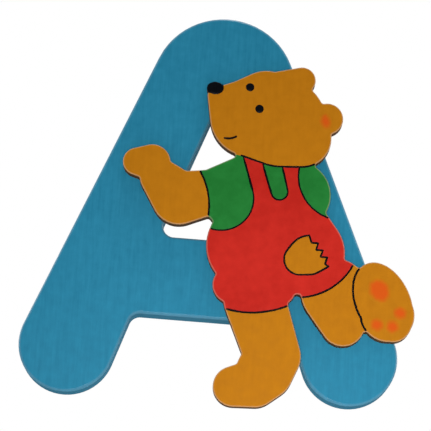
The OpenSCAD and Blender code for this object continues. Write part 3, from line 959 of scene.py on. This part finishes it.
# %% Guide curves
HEAD = [((5.9, 58.2), 8.3), ((12.2, 57.6), 9.5), ((16.7, 54.5), 6.2), ((12.2, 57.6), 9.5), ((9.1, 61.3), 7.1)]
GUIDES = {
    "cuff": band_round([((-15.9, 38.3), 14.5)]),
    "armhole": band_round([((0.9, 40.7), 6.7), ((-0.2, 47.6), 5.6)]),
    "shirt_front": band_round([((12.8, 42.8), 1.7), ((11.0, 48.6), 1.9)]),
    "strap": band_round([((25.7, 46.8), 9.2)]),
    "chin": band_round(HEAD),
    "hem": band_round([((7.5, 36.4), 19.0)]),
    "seat": band_round([((16.8, 34.2), 13.1)]),
    "sole": oval_round((35.1, 21.3), 8.6, 5.6, 116.0),
    "sole_toes": band_round([((36.1, 18.7), 5.5)]),
    "smile": band_round([((1.5, 56.6), 3.2)]),
}
print(len(GUIDES), "guide curves")

# %% Stretches that are inked
SAMPLE = 0.12
SHORTEST = 1.1
LINE_WIDTH = 0.45
INK_HEIGHT = 0.09
EDGE_INK = 0.12
INK_REACH = 0.9
line_loops = flat_loops("line_print")
face_loops = flat_loops("face_print")
ink_limit = [moved_out(loop, -EDGE_INK) for loop in bear_loops]


def carried(run, onward):
    """The run, carried on along its curve as far as the board's edge, if that is near."""
    on_board = inside(onward, ink_limit)
    return run if on_board.all() else np.concatenate([run, onward[:int(np.argmin(on_board))]])


def inked(curve, loops):
    """The stretches of a closed curve that lie on the printed lines, longest runs only."""
    ends = np.roll(curve, -1, axis=0)
    steps = [max(1, int(np.linalg.norm(b - a) / SAMPLE)) for a, b in zip(curve, ends)]
    dense = np.concatenate([a + (b - a) * np.arange(n)[:, None] / n for a, b, n in zip(curve, ends, steps)])
    on = inside(dense, loops)
    if on.all():
        return [dense]
    count, more = len(dense), int(INK_REACH / SAMPLE)
    starts = np.flatnonzero(on & ~np.roll(on, 1))
    runs = []
    for first in starts:
        length = int(np.argmin(np.roll(on, -first)))
        if length * SAMPLE < SHORTEST:
            continue
        run = dense[(first + np.arange(length)) % count]
        run = carried(run, dense[(first + length + np.arange(more)) % count])
        runs.append(carried(run[::-1], dense[(first - 1 - np.arange(more)) % count]))
    return runs


strokes = [run for guide in GUIDES.values() for run in inked(guide, line_loops + face_loops)]
holes = [loop for loop in line_loops if area_of(loop) < 0]
torn = flat_loops("dungarees_print")[-1]
tear = min(holes, key=lambda loop: np.linalg.norm(loop.mean(axis=0) - torn.mean(axis=0)))
print(len(strokes), "open strokes and the tear's", len(tear), "corners")

# %% Ink tree: inputs
ink_tree, given, result = group_tree(
    "ink_line", "GeometryNodeTree",
    [("Geometry", "NodeSocketGeometry", None), ("Line width", "NodeSocketFloat", LINE_WIDTH * MM),
     ("Ink height", "NodeSocketFloat", INK_HEIGHT * MM), ("Board face", "NodeSocketFloat", bear_front * MM),
     ("Thin ends", "NodeSocketFloat", 0.2 * MM), ("Waver", "NodeSocketFloat", 0.22),
     ("Ink", "NodeSocketMaterial", None)],
    [("Geometry", "NodeSocketGeometry")])
port = {socket.name: socket for socket in given.outputs}
print(ink_tree.name, "inputs", list(port))

# %% Ink tree: width along the line
INK_STEP = 0.14 * MM
END_SHARE = 0.6

curve = add(ink_tree, "GeometryNodeMeshToCurve", {0: port["Geometry"]})
even = add(ink_tree, "GeometryNodeResampleCurve", {"Curve": curve.outputs[0], "Length": INK_STEP}, mode="LENGTH")
along = add(ink_tree, "GeometryNodeSplineParameter").outputs["Length"]
total = add(ink_tree, "GeometryNodeSplineLength").outputs["Length"]
from_end = calc(ink_tree, "MINIMUM", calc(ink_tree, "SUBTRACT", total, along), along)
share = calc(ink_tree, "DIVIDE", from_end, port["Thin ends"])
taper = add(ink_tree, "ShaderNodeMapRange", {"Value": share, "To Min": END_SHARE}, interpolation_type="SMOOTHSTEP")
closed = add(ink_tree, "GeometryNodeInputSplineCyclic")
full = calc(ink_tree, "MAXIMUM", taper.outputs[0], closed.outputs[0])
here = add(ink_tree, "GeometryNodeInputPosition")
noise = add(ink_tree, "ShaderNodeTexNoise", {"Vector": here.outputs[0], "Scale": 420.0, "Detail": 2.0})
swing = calc(ink_tree, "SUBTRACT", noise.outputs[0], 0.5)
size = calc(ink_tree, "MULTIPLY", full, calc(ink_tree, "MULTIPLY_ADD", swing, port["Waver"], 1.0))
print("width in", len(ink_tree.nodes), "nodes")

# %% Ink tree: sweep and press flat
INK_SIDES = 14
INK_SUNK = 0.012 * MM

half = calc(ink_tree, "MULTIPLY", port["Line width"], 0.5)
ring = add(ink_tree, "GeometryNodeCurvePrimitiveCircle", {"Radius": half, "Resolution": INK_SIDES})
tube = add(ink_tree, "GeometryNodeCurveToMesh",
           {"Curve": even.outputs[0], "Profile Curve": ring.outputs[0], "Scale": size, "Fill Caps": True})
split = add(ink_tree, "ShaderNodeSeparateXYZ", {0: here.outputs[0]})
proud = calc(ink_tree, "SUBTRACT", split.outputs["Y"], port["Board face"])
low = calc(ink_tree, "MINIMUM", proud, INK_SUNK)
flat = calc(ink_tree, "DIVIDE", port["Ink height"], half)
pressed = calc(ink_tree, "MULTIPLY_ADD", low, flat, port["Board face"])
laid = add(ink_tree, "ShaderNodeCombineXYZ", {0: split.outputs["X"], 1: pressed, 2: split.outputs["Z"]})
ridge = add(ink_tree, "GeometryNodeSetPosition", {"Geometry": tube.outputs[0], "Position": laid.outputs[0]})
smooth = add(ink_tree, "GeometryNodeSetShadeSmooth", {0: ridge.outputs[0]})
real = add(ink_tree, "GeometryNodeRealizeInstances", {0: smooth.outputs[0]})
coated = add(ink_tree, "GeometryNodeSetMaterial", {"Geometry": real.outputs[0], "Material": port["Ink"]})
ink_tree.links.new(coated.outputs[0], result.inputs[0])
print(ink_tree.name, len(ink_tree.nodes), "nodes")


# %% Draw the lines
def drawn(name, open_runs, closed_runs, width, height, material):
    """Sweeps the ink tree along flat runs and returns the result as a plain mesh object."""
    corners, wires, first = [], [], 0
    for run, is_closed in [(r, False) for r in open_runs] + [(r, True) for r in closed_runs]:
        corners.append(stood(run, bear_front))
        wires += [(first + i, first + i + 1) for i in range(len(run) - 1)]
        wires += [(first + len(run) - 1, first)] if is_closed else []
        first += len(run)
    guide_mesh = bpy.data.meshes.new(name + "_guide")
    guide_mesh.from_pydata([tuple(c) for c in np.concatenate(corners)], wires, [])
    guide = bpy.data.objects.new(name + "_guide", guide_mesh)
    bpy.context.scene.collection.objects.link(guide)
    sweep = guide.modifiers.new("ink", "NODES")
    sweep.node_group = ink_tree
    chosen = {"Line width": width * MM, "Ink height": height * MM, "Ink": material}
    for item in ink_tree.interface.items_tree:
        if item.in_out == "INPUT" and item.name in chosen:
            sweep[item.identifier] = chosen[item.name]
    ready = guide.evaluated_get(bpy.context.evaluated_depsgraph_get())
    mesh = bpy.data.meshes.new_from_object(ready)
    mesh.name = name
    bpy.data.objects.remove(guide)
    made = bpy.data.objects.new(name, mesh)
    bpy.context.scene.collection.objects.link(made)
    print(name, len(mesh.polygons), "faces, slots", [m.name for m in mesh.materials])
    return made


tear_line = moved_out(tear[::-1], LINE_WIDTH / 2)
lines = drawn("ink_lines", strokes, [tear_line], LINE_WIDTH, INK_HEIGHT, black_ink)
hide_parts("line_print")
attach(lines, "root")

# %% [markdown]
# ## Nose and eyes
# The nose and eyes are fat dabs of gloss paint that dried round. They use the film helper with a wide
# crown, so each is a low dome, and the nose runs over the edge of the muzzle as it does on the real one.
# The smile is a stroke of ink and was drawn with the lines.


# %% Nose and eyes
def roundness(loop):
    """1 for a circle, and less the further a loop is from one."""
    length = np.sum(np.linalg.norm(np.roll(loop, -1, axis=0) - loop, axis=1))
    return 4 * math.pi * abs(area_of(loop)) / length**2


ROUND_ENOUGH = 0.6
DAB = dict(grow=0.1, thick=0.1, crown=0.7, step=0.2)

dabs = [loop for loop in face_loops if roundness(loop) > ROUND_ENOUGH]
drops = [film(f"dab_{i}", [loop], material=gloss_black, **DAB) for i, loop in enumerate(dabs)]
face = joined("nose_and_eyes", drops)
face.data.shade_smooth()
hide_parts("face_print")
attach(face, "root")
print("dabs", len(dabs))

# %% [markdown]
# ## Glue
# The glue lies between the two boards and hardly shows. Its solid has the right shape already, so it stays
# and only gets a better surface: milky, a little glossy, and cloudy from the air stirred into it.

# %% Glue
GLUE_DEEP, GLUE_MILKY = (0.72, 0.64, 0.47), (0.86, 0.82, 0.70)
GLUE_DEPTH = 0.05 * MM

glue = bpy.data.materials.new("milky_glue")
glue.use_nodes = True
tree = glue.node_tree
where = add(tree, "ShaderNodeTexCoord")
cloud = add(tree, "ShaderNodeTexNoise", {"Vector": where.outputs["Object"], "Scale": 260.0, "Detail": 4.0})
skin = add(tree, "ShaderNodeMapRange", {"Value": cloud.outputs[0], "To Min": 0.3, "To Max": 0.5})
dimple = add(tree, "ShaderNodeBump", {"Height": cloud.outputs[0], "Strength": 0.2, "Distance": GLUE_DEPTH})
feed(tree, {
    "Base Color": mixed(tree, cloud.outputs[0], GLUE_DEEP, GLUE_MILKY),
    "Roughness": skin.outputs[0],
    "Normal": dimple.outputs[0],
})
glue_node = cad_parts["glue_film"]
glue_node.data.materials.clear()
glue_node.data.materials.append(glue)
print("glue faces", len(glue_node.data.polygons))
